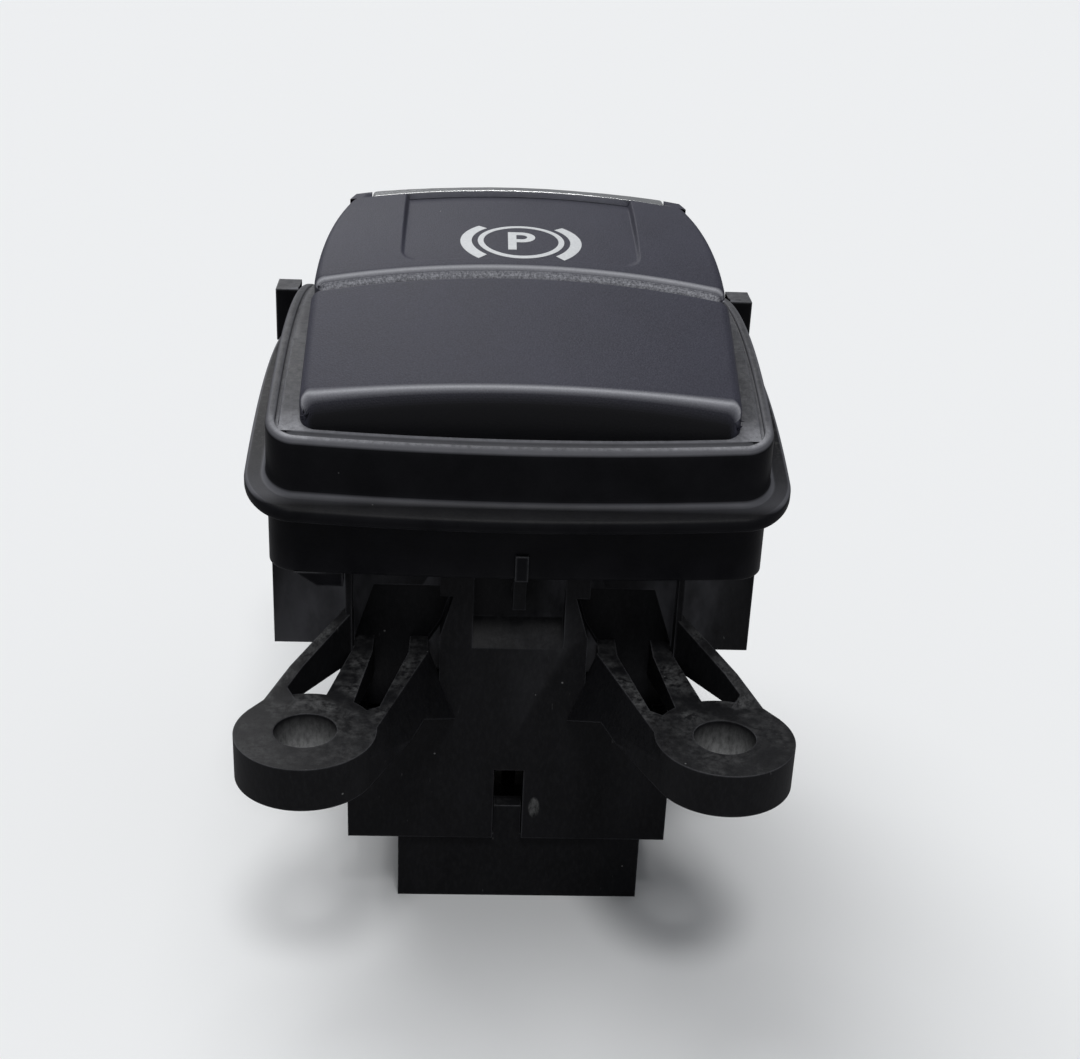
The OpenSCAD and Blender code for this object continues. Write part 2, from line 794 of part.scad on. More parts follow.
bezel();
button();
chrome_strip();
symbol_diffuser();
rocker();
pivot_pin();
plunger_guide();
housing();
base_cover();
circuit_board();
light_guide();
led_white();
led_red();
resistors();
for (s = SIDES, p = ["plunger", "stem", "key", "spring"]) {
    pull_part(p, s);
    push_part(p, s);
}
for (i = [1:pin_count])
    terminal(i);
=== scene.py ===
"""Looks of a parking brake switch: soft-touch hood and rocking button in a satin black bezel on a moulded body."""

import json
import math

import bmesh
import bpy
import numpy as np
from mathutils import Matrix, Vector


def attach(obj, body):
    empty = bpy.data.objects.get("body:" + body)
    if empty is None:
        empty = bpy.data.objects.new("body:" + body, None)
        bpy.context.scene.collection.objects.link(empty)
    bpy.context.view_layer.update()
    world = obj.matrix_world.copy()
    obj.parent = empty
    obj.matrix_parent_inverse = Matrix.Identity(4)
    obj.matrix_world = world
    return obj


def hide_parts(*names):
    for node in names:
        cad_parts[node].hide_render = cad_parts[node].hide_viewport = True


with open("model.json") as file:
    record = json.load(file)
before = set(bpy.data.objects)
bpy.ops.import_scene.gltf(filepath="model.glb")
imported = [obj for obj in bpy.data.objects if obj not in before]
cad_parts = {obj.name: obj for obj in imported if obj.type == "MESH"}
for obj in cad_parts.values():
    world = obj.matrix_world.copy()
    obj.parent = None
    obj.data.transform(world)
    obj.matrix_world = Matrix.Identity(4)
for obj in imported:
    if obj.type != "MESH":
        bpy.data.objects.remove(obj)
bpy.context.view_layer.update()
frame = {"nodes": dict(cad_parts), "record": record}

# Millimetres of the drawing; the drawing's y is measured from the body's front face.
MM = 0.001
BODY_FRONT_Y = 13.2
MID_Y = 21.6
CROWN_R = 110.0
FRONT_BOW_R = 280.0
LEDGE_R, LEDGE_TOP = 60.0, 55.1
HOOD_HALF, HOOD_FRONT, HOOD_REAR, HOOD_R = 19.8, -0.6, 14.0, 160.0
HOOD_ENDS = ((-0.6, 55.2), (14.0, 61.4))
NOSE_R, NOSE_CENTRE = 60.0, (46.68, 17.76)
CAP_R, CAP_CREST = 58.7, (34.7, 65.1)
BUTTON_FRONT, BUTTON_HALF, BUTTON_SIDE_R = 15.3, 19.7, 64.0
BUTTON_CUT = 32.4
DISH_DEPTH, DISH_HALF, DISH_FRONT, DISH_CORNER = 0.7, 11.5, 17.0, 2.0
SYMBOL_Y = 20.65
SYMBOL_LENGTH = 0.8
RIM_HALF, RIM_FRONT, RIM_REAR, RIM_CORNER, RIM_LIP = 22.9, -1.55, 44.7, 3.0, 1.35
FLANGE_R, FLANGE_TOP, FLANGE_OUT, FLANGE_T = 64.6, 49.8, 2.0, 1.3
COLLAR_FOOT = 37.65
LUG_X, LUG_Y, LUG_R, LUG_HOLE, LUG_TOP, LUG_T = 18.3, -14.1, 6.2, 2.75, 28.7, 4.1
RECESS_DEPTH = 3.2
POCKET_DEPTH = 2.2


def crown(x):
    """Drop of the crowned tops towards the sides: a circle of radius CROWN_R seen from the front."""
    return CROWN_R - np.sqrt(CROWN_R**2 - x**2)


def drum(x, y, radius, centre):
    """Height of a surface turned about a line across the switch, whose radius shrinks by the crown."""
    return centre[1] + np.sqrt((radius - crown(x)) ** 2 - (y - centre[0]) ** 2)


def hood_centre():
    """Centre of the circle of radius HOOD_R through the hood's two ends, below the hood."""
    a, b = np.array(HOOD_ENDS[0]), np.array(HOOD_ENDS[1])
    run = b - a
    reach = math.sqrt(HOOD_R**2 - run @ run / 4) / np.linalg.norm(run)
    return (a + b) / 2 + reach * np.array([run[1], -run[0]])


def softer_min(a, b, soft):
    """The smaller of two heights, with the corner between them rounded over about three times soft."""
    return -soft * np.logaddexp(-a / soft, -b / soft)


def hood_height(x, y):
    """The hood's long arc, broken at its front by the nose's tighter arc."""
    return softer_min(drum(x, y, HOOD_R, hood_centre()), drum(x, y, NOSE_R, NOSE_CENTRE), 0.12)


def cap_height(x, y, inset=0.0):
    """The button's arc from front to rear, crowned from side to side, lowered by inset."""
    return drum(x, y, CAP_R - inset, (CAP_CREST[0], CAP_CREST[1] - CAP_R))


def ledge_height(y):
    """The rim's arc, which the ledge round the hood follows."""
    return LEDGE_TOP - LEDGE_R + np.sqrt(LEDGE_R**2 - (y - MID_Y) ** 2)


def smooth_step(t):
    """0 below 0, 1 above 1, and 3t squared less 2t cubed between."""
    t = np.clip(t, 0, 1)
    return t * t * (3 - 2 * t)


def edge_drop(distance, radius):
    """Fall of a quarter round of this radius, at a distance inside the edge."""
    t = np.clip(radius - distance, 0, radius)
    return radius - np.sqrt(radius**2 - t**2)


def marks(low, high, step, fine, reach):
    """Positions from low to high at about step, and at fine within reach of both ends."""
    middle = np.linspace(low + reach, high - reach, int((high - low - 2 * reach) / step) + 1)
    ends = reach * (1 - np.cos(np.linspace(0, math.pi / 2, int(reach / fine) + 1)))[:-1]
    return np.concatenate([low + ends, middle, (high - ends)[::-1]])


def mesh_piece(name, points, faces, finish, body, smooth=40.0):
    """A piece from an array of points in drawing millimetres and an array of faces."""
    place = (np.asarray(points, float) - [0, BODY_FRONT_Y, 0]) * MM
    mesh = bpy.data.meshes.new(name)
    mesh.from_pydata(place.tolist(), [], np.asarray(faces).tolist())
    shape = bmesh.new()
    shape.from_mesh(mesh)
    bmesh.ops.remove_doubles(shape, verts=shape.verts, dist=0.002 * MM)
    bmesh.ops.dissolve_degenerate(shape, edges=shape.edges, dist=0.001 * MM)
    shape.to_mesh(mesh)
    shape.free()
    mesh.shade_smooth()
    mesh.set_sharp_from_angle(angle=math.radians(smooth))
    piece = bpy.data.objects.new(name, mesh)
    bpy.context.scene.collection.objects.link(piece)
    piece.data.materials.append(finish)
    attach(piece, body)
    return piece


def grid_faces(rows, columns, around=False, along=False):
    """Quads between neighbours of a grid of points; around or along joins the last row or column to the first."""
    k = np.arange(rows * columns).reshape(rows, columns)
    if along:
        k = np.concatenate([k, k[:1]])
    if around:
        k = np.concatenate([k, k[:, :1]], axis=1)
    return np.stack([k[:-1, :-1], k[:-1, 1:], k[1:, 1:], k[1:, :-1]], axis=-1).reshape(-1, 4)


def top_piece(name, across, along, half, front, height, edge, corner, rear_edge, foot, finish, body, wall):
    """A moulded top with walls. Its plan is |x| <= half(y) and y from front(x) on, with rounded front corners.
    The height falls by a quarter round of radius edge at the front and sides, and of rear_edge at the rear,
    and outside the plan the walls drop to foot. across runs from -1 to 1 and along is y."""
    share, y = np.meshgrid(across, along)
    y = y + (front(share * half(y)) - front(0.0)) * (along[-1] - y) / (along[-1] - along[0])
    x = share * half(y)
    side = half(y) - np.abs(x)
    ahead = y - front(x)
    in_x, in_y = np.clip(corner - side, 0, None), np.clip(corner - ahead, 0, None)
    away = np.hypot(in_x, in_y)
    outside = (in_x > 0) & (in_y > 0) & (away > corner)
    pull = np.where(outside, corner / np.maximum(away, 1e-9), 1.0)
    x = np.sign(x) * (half(y) - corner + in_x * pull) * outside + x * ~outside
    y = (front(x) + corner - in_y * pull) * outside + y * ~outside
    inside = np.where((in_x > 0) & (in_y > 0), corner - away * pull, np.minimum(side, ahead))
    z = height(x, y) - edge_drop(inside, edge) - edge_drop(along[-1] - y, rear_edge)
    low = foot(x, y)
    x, y, low = (np.pad(a, 1, mode="edge") for a in (x, y, low))
    z = np.pad(z, 1, mode="edge")
    z[0], z[-1], z[:, 0], z[:, -1] = low[0], low[-1], low[:, 0], low[:, -1]
    points = np.stack([x, y, z], axis=-1).reshape(-1, 3)
    piece = mesh_piece(name, points, grid_faces(*x.shape), finish, body, 50.0)
    shell = piece.modifiers.new("wall", "SOLIDIFY")
    shell.thickness = wall * MM
    shell.offset = -1
    return piece


def cad_copy(node, name, finish, gone, cuts=()):
    """A merged copy of a CAD node, first cut along planes given as axis and place, without the faces for whose
    middle gone(x, y, z) holds, in drawing millimetres."""
    source = frame["nodes"][node]
    shape = bmesh.new()
    shape.from_mesh(source.data)
    bmesh.ops.remove_doubles(shape, verts=shape.verts, dist=0.001 * MM)
    for axis, at in cuts:
        normal = Vector((axis == "x", axis == "y", axis == "z"))
        spot = normal * (at - BODY_FRONT_Y * (axis == "y")) * MM
        everything = shape.verts[:] + shape.edges[:] + shape.faces[:]
        bmesh.ops.bisect_plane(shape, geom=everything, plane_co=spot, plane_no=normal)
    shape.faces.ensure_lookup_table()
    middle = np.array([face.calc_center_median() for face in shape.faces]) / MM + [0, BODY_FRONT_Y, 0]
    marked = gone(middle[:, 0], middle[:, 1], middle[:, 2])
    bmesh.ops.delete(shape, geom=[shape.faces[i] for i in np.flatnonzero(marked)], context="FACES")
    mesh = bpy.data.meshes.new(name)
    shape.to_mesh(mesh)
    shape.free()
    mesh.shade_smooth()
    mesh.set_sharp_from_angle(angle=math.radians(24))
    piece = bpy.data.objects.new(name, mesh)
    bpy.context.scene.collection.objects.link(piece)
    piece.data.materials.clear()
    piece.data.materials.append(finish)
    return piece


# Materials


class Value:
    """A number or colour that a material's node gives; arithmetic on it adds Math nodes."""

    def __init__(self, finish, socket):
        self.finish = finish
        self.socket = socket

    def math(self, operation, *values, clamp=False):
        settings = {"operation": operation, "use_clamp": clamp}
        return self.finish.node("ShaderNodeMath", settings, dict(enumerate(values)))

    def __add__(self, other):
        return self.math("ADD", self, other)

    def __sub__(self, other):
        return self.math("SUBTRACT", self, other)

    def __mul__(self, other):
        return self.math("MULTIPLY", self, other)

    def __truediv__(self, other):
        return self.math("DIVIDE", self, other)

    def __rsub__(self, other):
        return self.math("SUBTRACT", other, self)

    def __pow__(self, other):
        return self.math("POWER", self, other)

    __radd__ = __add__
    __rmul__ = __mul__

    def between(self, low, high):
        """0 where the value is low, 1 where it is high, straight between."""
        return self.math("DIVIDE", self - low, high - low, clamp=True)

    def most(self, other):
        return self.math("MAXIMUM", self, other)


class Finish:
    """One procedural material, built by node() and by arithmetic on the values that it gives."""

    def __init__(self, name, **sockets):
        self.material = bpy.data.materials.new(name)
        self.material.use_nodes = True
        self.tree = self.material.node_tree
        self.surface = self.tree.nodes["Principled BSDF"]
        self.fill(self.surface, {key.replace("_", " "): value for key, value in sockets.items()})
        self.place = self.node("ShaderNodeTexCoord", output="Object")
        where = self.node("ShaderNodeSeparateXYZ", inputs={0: self.place}).socket.node
        self.x, self.y, self.z = (Value(self, out) * (1 / MM) for out in where.outputs)
        facing = self.node("ShaderNodeNewGeometry", output="True Normal")
        self.facing = facing
        self.up = Value(self, self.node("ShaderNodeSeparateXYZ", inputs={0: facing}).socket.node.outputs[2])

    def fill(self, node, inputs):
        for key, value in inputs.items():
            if isinstance(value, Value):
                self.tree.links.new(value.socket, node.inputs[key])
            else:
                node.inputs[key].default_value = value

    def node(self, kind, settings=None, inputs=None, output=0):
        made = self.tree.nodes.new(kind)
        for key, value in (settings or {}).items():
            setattr(made, key, value)
        self.fill(made, inputs or {})
        return Value(self, made.outputs[output])

    def stretched(self, scale):
        return self.node("ShaderNodeMapping", inputs={"Vector": self.place, "Scale": scale})

    def noise(self, size, detail=2.0, rough=0.5, at=None, offset=0.0):
        """Cloudy noise whose spots are about size millimetres across."""
        settings = {"noise_dimensions": "4D"}
        inputs = {"Vector": at or self.place, "W": offset, "Scale": 1 / (size * MM), "Detail": detail}
        inputs["Roughness"] = rough
        return self.node("ShaderNodeTexNoise", settings, inputs)

    def specks(self, spacing, size, share, offset=0.0):
        """Round specks of a given size on a share of the cells of a scattered grid."""
        at = self.node("ShaderNodeMapping", inputs={"Vector": self.place, "Location": (offset, offset, offset)})
        cell = self.node("ShaderNodeTexVoronoi", inputs={"Vector": at, "Scale": 1 / (spacing * MM)})
        pick = self.node("ShaderNodeSeparateXYZ", inputs={0: Value(self, cell.socket.node.outputs["Color"])})
        near = 1 - cell.between(0.5 * size / spacing, size / spacing)
        return near * pick.between(1 - share, 1 - share + 0.02)

    def blend(self, factor, a, b):
        """Colour a where the factor is 0, and b where it is 1."""
        inputs = {0: factor, 6: a, 7: b}
        return self.node("ShaderNodeMix", {"data_type": "RGBA"}, inputs, output=2)

    def rounded(self, radius, strength):
        """Normal of softly rounded edges, and how much of an edge a place is, from 0 to 1."""
        normal = self.node("ShaderNodeBevel", {"samples": 6}, {"Radius": radius * MM})
        along = self.node("ShaderNodeVectorMath", {"operation": "DOT_PRODUCT"}, {0: normal, 1: self.facing}, "Value")
        return normal, (1 - along) * strength

    def relief(self, height, depth, normal=None):
        """Fine relief: height from 0 to 1 stands for depth in millimetres."""
        inputs = {"Height": height, "Distance": depth * MM, "Strength": 1.0}
        if normal:
            inputs["Normal"] = normal
        return self.node("ShaderNodeBump", inputs=inputs)

    def dress(self, **sockets):
        self.fill(self.surface, {key.replace("_", " "): value for key, value in sockets.items()})
        return self.material


def grey(level, blue=1.06):
    """An opaque near-neutral colour, slightly blue."""
    return (level, level * 1.01, level * blue, 1.0)


def soft_touch():
    """Slate soft-touch paint: fine grain, faint clouds and a few pale specks, with painted shade on forward-facing
    walls ahead of the seam, a pale button front wall that is partly painted light, and a painted highlight along the
    hood's nose.
    """
    paint = Finish("soft_touch_paint", IOR=1.45)
    paint.surface.inputs["Specular IOR Level"].default_value = 0.35
    grain = paint.noise(0.16, 2.0, 0.6)
    cloud = paint.noise(6.0, 3.0, 0.5)
    tone = paint.blend(cloud.between(0.3, 0.7), grey(0.029, 1.5), grey(0.037, 1.5))
    tone = paint.blend(grain.between(0.35, 0.75) * 0.6, tone, grey(0.080, 1.35))
    across = Value(paint, paint.node("ShaderNodeSeparateXYZ", inputs={0: paint.facing}).socket.node.outputs[1])
    wall = (0 - across).between(0.80, 0.97)
    seam = paint.y.between(0.5, 1.0)
    speckle = paint.noise(0.22, 4.0, 0.8, offset=4.0).between(0.40, 0.62)
    # Painted shade: forward-facing walls ahead of the seam, the hood's front wall, are darkened to near black.
    tone = paint.blend(wall * (1 - seam), tone, grey(0.006, 1.3))
    # The button's front wall behind the seam is pale and grainy: partly its own rough unpainted surface, partly a
    # painted highlight where it faces the lamps.
    tone = paint.blend(wall * seam * (0.3 + 0.7 * speckle), tone, grey(0.80, 1.08))
    # Painted highlight: a pale band on the forward-leaning slopes of the hood's rounded nose.
    smooth = paint.node("ShaderNodeNewGeometry", output="Normal")
    lean = 0 - Value(paint, paint.node("ShaderNodeSeparateXYZ", inputs={0: smooth}).socket.node.outputs[1])
    nose_highlight = lean.between(0.46, 0.64) * (1 - lean.between(0.68, 0.88)) * paint.up.between(0.1, 0.3)
    tone = paint.blend(nose_highlight * (0.6 + 0.4 * grain), tone, grey(0.52, 1.08))
    dust = paint.specks(2.6, 0.075, 0.16) + paint.specks(5.0, 0.13, 0.10, 0.3)
    tone = paint.blend(dust * paint.up.between(0.2, 0.6), tone, grey(0.35, 1.0))
    rough = 0.50 + 0.12 * grain + 0.05 * cloud
    normal = paint.relief(grain, 0.035)
    return paint.dress(Base_Color=tone, Roughness=rough, Normal=normal)


def satin_black():
    """Satin black moulding: fine grain, pale edges that are partly wear and partly a painted highlight, a painted
    highlight on the rim's bead, and dust on what faces up.
    """
    trim = Finish("satin_black_moulding", IOR=1.46)
    trim.surface.inputs["Specular IOR Level"].default_value = 0.13
    grain = trim.noise(0.2, 2.0, 0.6)
    patches = trim.noise(3.5, 4.0, 0.6)
    edge_normal, edge = trim.rounded(0.35, 3.5)
    # Pale edges in patches: partly wear, partly a painted highlight on the rounded edges.
    worn_and_highlit_edges = edge.math("MINIMUM", edge, 1.0) * patches.between(0.2, 0.5)
    tone = trim.blend(patches.between(0.35, 0.7), grey(0.004, 1.35), grey(0.008, 1.25))
    tone = trim.blend(worn_and_highlit_edges * 0.6, tone, grey(0.20, 1.08))
    dust = trim.noise(0.5, 5.0, 0.75, offset=3.0).between(0.48, 0.68) * trim.noise(4.0, 2.0, offset=7.0).between(0.35, 0.6)
    dust = dust * trim.up.between(0.55, 0.9) * trim.z.between(46.0, 49.0)
    tone = trim.blend(dust * 0.5, tone, grey(0.16, 1.0))
    ledge = trim.up.between(0.75, 0.95) * trim.z.between(50.0, 50.6) * (0.2 + 0.8 * (1 - trim.y.between(-13.5, -10.5)))
    settled = ledge * (0.45 + 0.55 * trim.noise(0.7, 5.0, 0.75, offset=1.0).between(0.35, 0.65))
    tone = trim.blend(settled * 0.95, tone, grey(0.50, 1.08))
    # Painted highlight on the rim's rounded bead, picked out by how its smooth normal leans.
    shade = trim.node("ShaderNodeNewGeometry", output="Normal")
    level = Value(trim, trim.node("ShaderNodeSeparateXYZ", inputs={0: shade}).socket.node.outputs[2])
    bead_highlight = level.between(0.35, 0.6) * (1 - level.between(0.88, 0.97)) * trim.z.between(45.0, 45.5)
    tone = trim.blend(bead_highlight * (0.5 + 0.4 * patches), tone, grey(0.16, 1.12))
    lint = trim.specks(3.2, 0.10, 0.10) * trim.up.between(-0.2, 0.3)
    tone = trim.blend(lint, tone, grey(0.30, 1.0))
    rough = 0.36 + 0.10 * grain + 0.25 * dust
    normal = trim.relief(grain + patches * 0.5, 0.018, edge_normal)
    return trim.dress(Base_Color=tone, Roughness=rough, Normal=normal)


def filled_black():
    """Glass-filled black moulding: grey flow marks, chalk on ribs worn by rubbing, scratches, dust, and pale edges that
    are partly wear and partly a painted highlight.
    """
    body = Finish("filled_black_moulding", IOR=1.5)
    body.surface.inputs["Specular IOR Level"].default_value = 0.22
    fibre = body.noise(0.35, 5.0, 0.7, body.stretched((1.0, 1.0, 0.45)))
    flow = body.noise(5.0, 4.0, 0.6, body.stretched((1.0, 0.7, 0.5)), 2.0)
    edge_normal, edge = body.rounded(0.25, 3.0)
    tone = body.blend(flow.between(0.35, 0.7), grey(0.004, 1.25), grey(0.009, 1.2))
    tone = body.blend(fibre.between(0.45, 0.8) * 0.6, tone, grey(0.022, 1.1))
    chalk = body.noise(0.8, 6.0, 0.8, offset=5.0).between(0.42, 0.66) * body.noise(3.0, 2.0, offset=9.0).between(0.38, 0.6)
    arms = body.y.between(-26.5, -22.5) * (1 - body.y.between(-15.5, -12.5)) * body.up.between(0.4, 0.9)
    chalk = chalk * (body.up.between(0.5, 0.95) * 0.35).most(arms)
    tone = body.blend(chalk * 0.75, tone, grey(0.17, 1.02))
    # Pale edges in the flow patches: partly wear, partly a painted highlight on the rounded edges.
    tone = body.blend(edge.math("MINIMUM", edge, 1.0) * flow.between(0.3, 0.6) * 0.8, tone, grey(0.15, 1.1))
    # Wall inside the lug hole is made paler towards its lower end: partly dust, partly painted light from below.
    from_axis = (body.x.math("ABSOLUTE", body.x) - LUG_X, body.y + (BODY_FRONT_Y - LUG_Y))
    radius = (from_axis[0] * from_axis[0] + from_axis[1] * from_axis[1]) ** 0.5
    hole_wall_dust_and_light = (1 - radius.between(LUG_HOLE + 0.02, LUG_HOLE + 0.06)) * (1 - body.z.between(LUG_TOP - 3.6, LUG_TOP - 0.2))
    tone = body.blend(hole_wall_dust_and_light * (0.4 + 0.6 * fibre.between(0.3, 0.6)), tone, grey(0.42, 1.0))
    oval = ((body.x - 2.6) / 0.6) ** 2.0 + ((body.z - 11.3) / 1.25) ** 2.0
    scuff = (1 - oval.between(0.6, 1.0)) * (1 - body.y.between(-13.1, -12.9)) * fibre.between(0.38, 0.6)
    tone = body.blend(scuff, tone, grey(0.12, 1.0))
    marks_at = body.node("ShaderNodeMapping", inputs={"Vector": body.place, "Scale": (1.0, 1.0, 0.2), "Rotation": (0.3, 0.9, 0.4)})
    scratch = body.noise(0.22, 1.0, 0.5, marks_at, 4.0).between(0.74, 0.80) * body.noise(2.5, 1.0, offset=6.0).between(0.56, 0.68)
    lint = body.specks(2.4, 0.12, 0.22) + body.specks(1.7, 0.07, 0.16, 0.2)
    tone = body.blend((scratch * 0.5 + lint * 0.8).math("MINIMUM", scratch * 0.5 + lint * 0.8, 1.0), tone, grey(0.26, 1.0))
    rough = 0.48 + 0.14 * fibre + 0.2 * chalk
    normal = body.relief(fibre + flow * 0.6, 0.03, edge_normal)
    return body.dress(Base_Color=tone, Roughness=rough, Normal=normal)


def bright_plate():
    """Satin chrome plating with faint clouding."""
    plate = Finish("satin_chrome_plate", Metallic=1.0)
    cloud = plate.noise(1.2, 3.0, 0.6)
    edge_normal, edge = plate.rounded(0.15, 1.0)
    tone = plate.blend(cloud.between(0.3, 0.7), grey(0.78, 1.01), grey(0.88, 1.01))
    return plate.dress(Base_Color=tone, Roughness=0.14 + 0.10 * cloud, Normal=plate.relief(cloud, 0.004, edge_normal))


def printed_white():
    """Off-white light-transmitting print with a faintly worn surface."""
    ink = Finish("off_white_print")
    worn = ink.noise(0.3, 3.0, 0.6)
    tone = ink.blend(worn.between(0.3, 0.75), (0.62, 0.64, 0.66, 1), (0.74, 0.76, 0.77, 1))
    return ink.dress(Base_Color=tone, Roughness=0.42 + 0.1 * worn, Normal=ink.relief(worn, 0.01))


def plain_moulding(name, light, dark, roughness, grain_size=0.3):
    """Plain inner moulding: two tones in clouds, fine relief and slightly rounded edges."""
    part = Finish(name)
    cloud = part.noise(2.5, 3.0, 0.6)
    grain = part.noise(grain_size, 3.0, 0.6)
    edge_normal, edge = part.rounded(0.12, 1.0)
    tone = part.blend(cloud.between(0.3, 0.7), dark, light)
    return part.dress(Base_Color=tone, Roughness=roughness + 0.1 * grain, Normal=part.relief(grain, 0.008, edge_normal))


def turned_metal(name, light, dark, roughness, grain=(1.0, 1.0, 12.0)):
    """Metal with fine drawn lines along the part."""
    part = Finish(name, Metallic=1.0)
    lines = part.noise(0.25, 3.0, 0.6, part.stretched(grain))
    tone = part.blend(lines.between(0.3, 0.7), dark, light)
    return part.dress(Base_Color=tone, Roughness=roughness + 0.15 * lines, Normal=part.relief(lines, 0.003))


SOFT = soft_touch()
TRIM = satin_black()
BODY = filled_black()
INK = printed_white()
ACETAL = plain_moulding("acetal", (0.78, 0.77, 0.72, 1), (0.68, 0.67, 0.62, 1), 0.35)
FINISH_OF_SLOT = {
    "trim_black": TRIM,
    "soft_touch": SOFT,
    "body_black": BODY,
    "bright_trim": bright_plate(),
    "milky_plastic": plain_moulding("milky_plastic", (0.82, 0.83, 0.84, 1), (0.72, 0.73, 0.74, 1), 0.4),
    "acetal": ACETAL,
    "board_green": plain_moulding("solder_mask_green", (0.02, 0.16, 0.07, 1), (0.012, 0.11, 0.05, 1), 0.28, 0.8),
    "clear_plastic": plain_moulding("light_guide_plastic", (0.72, 0.76, 0.78, 1), (0.62, 0.66, 0.69, 1), 0.12),
    "diode_white": plain_moulding("diode_yellow", (0.80, 0.74, 0.42, 1), (0.72, 0.66, 0.36, 1), 0.3),
    "diode_red": plain_moulding("diode_red", (0.55, 0.05, 0.04, 1), (0.42, 0.03, 0.03, 1), 0.3),
    "resistor_black": plain_moulding("resistor_black", (0.03, 0.03, 0.03, 1), (0.02, 0.02, 0.02, 1), 0.4),
    "plunger_grey": plain_moulding("plunger_grey", (0.30, 0.31, 0.33, 1), (0.24, 0.25, 0.27, 1), 0.38),
    "steel": turned_metal("drawn_steel", (0.62, 0.62, 0.63, 1), (0.50, 0.50, 0.51, 1), 0.28),
    "tinned_metal": turned_metal("tinned_contact", (0.78, 0.77, 0.73, 1), (0.66, 0.65, 0.62, 1), 0.25),
}
slot_of = {part["node"]: part["material_slot"] for part in frame["record"]["subparts"]}
for node, solid in frame["nodes"].items():
    solid.data.materials.clear()
    solid.data.materials.append(FINISH_OF_SLOT[slot_of[node]])

# Bezel without the CAD hood, and the smooth hood in its place


def hood_front(x):
    """Front outline of the hood in plan, a slight bow."""
    return HOOD_FRONT + FRONT_BOW_R - np.sqrt(FRONT_BOW_R**2 - x**2)


def replaced_bezel(x, y, z):
    """Faces of the CAD hood, and those of the outer ring apart from the two ears."""
    hood = (np.abs(x) < HOOD_HALF + 0.03) & (y > 1.0) & (y < HOOD_REAR + 0.03) & (z > ledge_height(y) + 0.02)
    outer = (np.abs(x) > RIM_HALF - RIM_LIP) | (y < RIM_LIP - 1.5) | (y > RIM_REAR - RIM_LIP)
    ear = (np.abs(x) > RIM_HALF - 0.01) & (y > 32.5) & (y < 36.4) & (z > 48.0)
    return hood | (outer & ~ear)


def ring_outline():
    """Plan of the rim: a rounded rectangle whose front bows out, as points and outward normals."""
    half_w, half_d = RIM_HALF - RIM_CORNER, (RIM_REAR - RIM_FRONT) / 2 - RIM_CORNER
    middle = (RIM_REAR + RIM_FRONT) / 2
    corners = [(half_w, half_d, 0), (-half_w, half_d, 90), (-half_w, -half_d, 180), (half_w, -half_d, 270)]
    points, normals = [], []
    for k, (x, y, start) in enumerate(corners):
        turn = np.radians(start + np.linspace(0, 90, 19))
        normal = np.stack([np.cos(turn), np.sin(turn)], axis=-1)
        arc = np.array([x, y]) + RIM_CORNER * normal
        after = corners[(k + 1) % 4]
        begin = np.array(after[:2]) + RIM_CORNER * normal[-1]
        share = np.linspace(0, 1, 62)[1:-1, None]
        points += [arc, arc[-1] + (begin - arc[-1]) * share]
        normals += [normal, np.repeat(normal[-1:], 60, axis=0)]
    points, normals = np.concatenate(points), np.concatenate(normals)
    bow = np.sqrt(FRONT_BOW_R**2 - np.clip(points[:, 0], -half_w, half_w) ** 2) - math.sqrt(FRONT_BOW_R**2 - half_w**2)
    points[:, 1] += middle - bow * smooth_step(-points[:, 1] / half_d)
    return points, normals


def flange_height(y):
    return FLANGE_TOP - FLANGE_R + np.sqrt(FLANGE_R**2 - (y - MID_Y) ** 2)


def quarter(centre, radius, start, end, count=5):
    """Points of an arc in the profile, from one angle to another in degrees."""
    turn = np.radians(np.linspace(start, end, count))
    return [(centre[0] + radius * math.cos(a), centre[1] + radius * math.sin(a)) for a in turn]


def ring_profile():
    """Section of the ring as (outset, height, share of the flange's arc, share of the rim's arc); heights are
    measured from those arcs, or from the drawing's zero where both shares are 0."""
    foot = [(-1.2, COLLAR_FOOT), (-0.35, COLLAR_FOOT)] + quarter((-0.35, COLLAR_FOOT + 0.3), 0.3, -90, 0)
    foot += [(-0.05, COLLAR_FOOT + 3)]
    low = [(-0.05, -FLANGE_T - 1.0), (-0.02, -FLANGE_T - 0.4), (0.12, -FLANGE_T - 0.1), (0.4, -FLANGE_T)]
    low += quarter((FLANGE_OUT - 0.4, 0.4 - FLANGE_T), 0.4, -90, 0) + quarter((FLANGE_OUT - 0.4, -0.4), 0.4, 0, 90, 7)
    low += quarter((0.62, 0.6), 0.6, 270, 180, 7) + [(0.02, 1.2)]
    lip = [(0.0, -1.6)] + quarter((-0.5, -0.5), 0.5, 0, 90, 9)
    groove = [(-0.80, 0.0), (-0.88, -0.05), (-0.94, -0.32), (-1.22, -0.32), (-1.28, -0.05), (-1.36, 0.0)]
    inner = groove + [(-1.9, -0.02), (-3.2, -0.04)]
    rows = [(o, h, 0, 0) for o, h in foot] + [(o, h, 1, 0) for o, h in low] + [(o, h, 0, 1) for o, h in lip + inner]
    return np.array(rows)


def bezel_ring():
    """The ring's section carried round its outline; each point's height follows the arcs at its own place."""
    (points, normals), section = ring_outline(), ring_profile()
    plan = points[:, None] + normals[:, None] * section[None, :, 0, None]
    x, y = plan[..., 0], plan[..., 1]
    z = section[None, :, 1] + section[None, :, 2] * flange_height(y) + section[None, :, 3] * ledge_height(y)
    place = np.stack([x, y, z], axis=-1)
    faces = grid_faces(*x.shape, along=True)[:, ::-1]
    return mesh_piece("bezel_ring", place.reshape(-1, 3), faces, TRIM, "housing", 60.0)


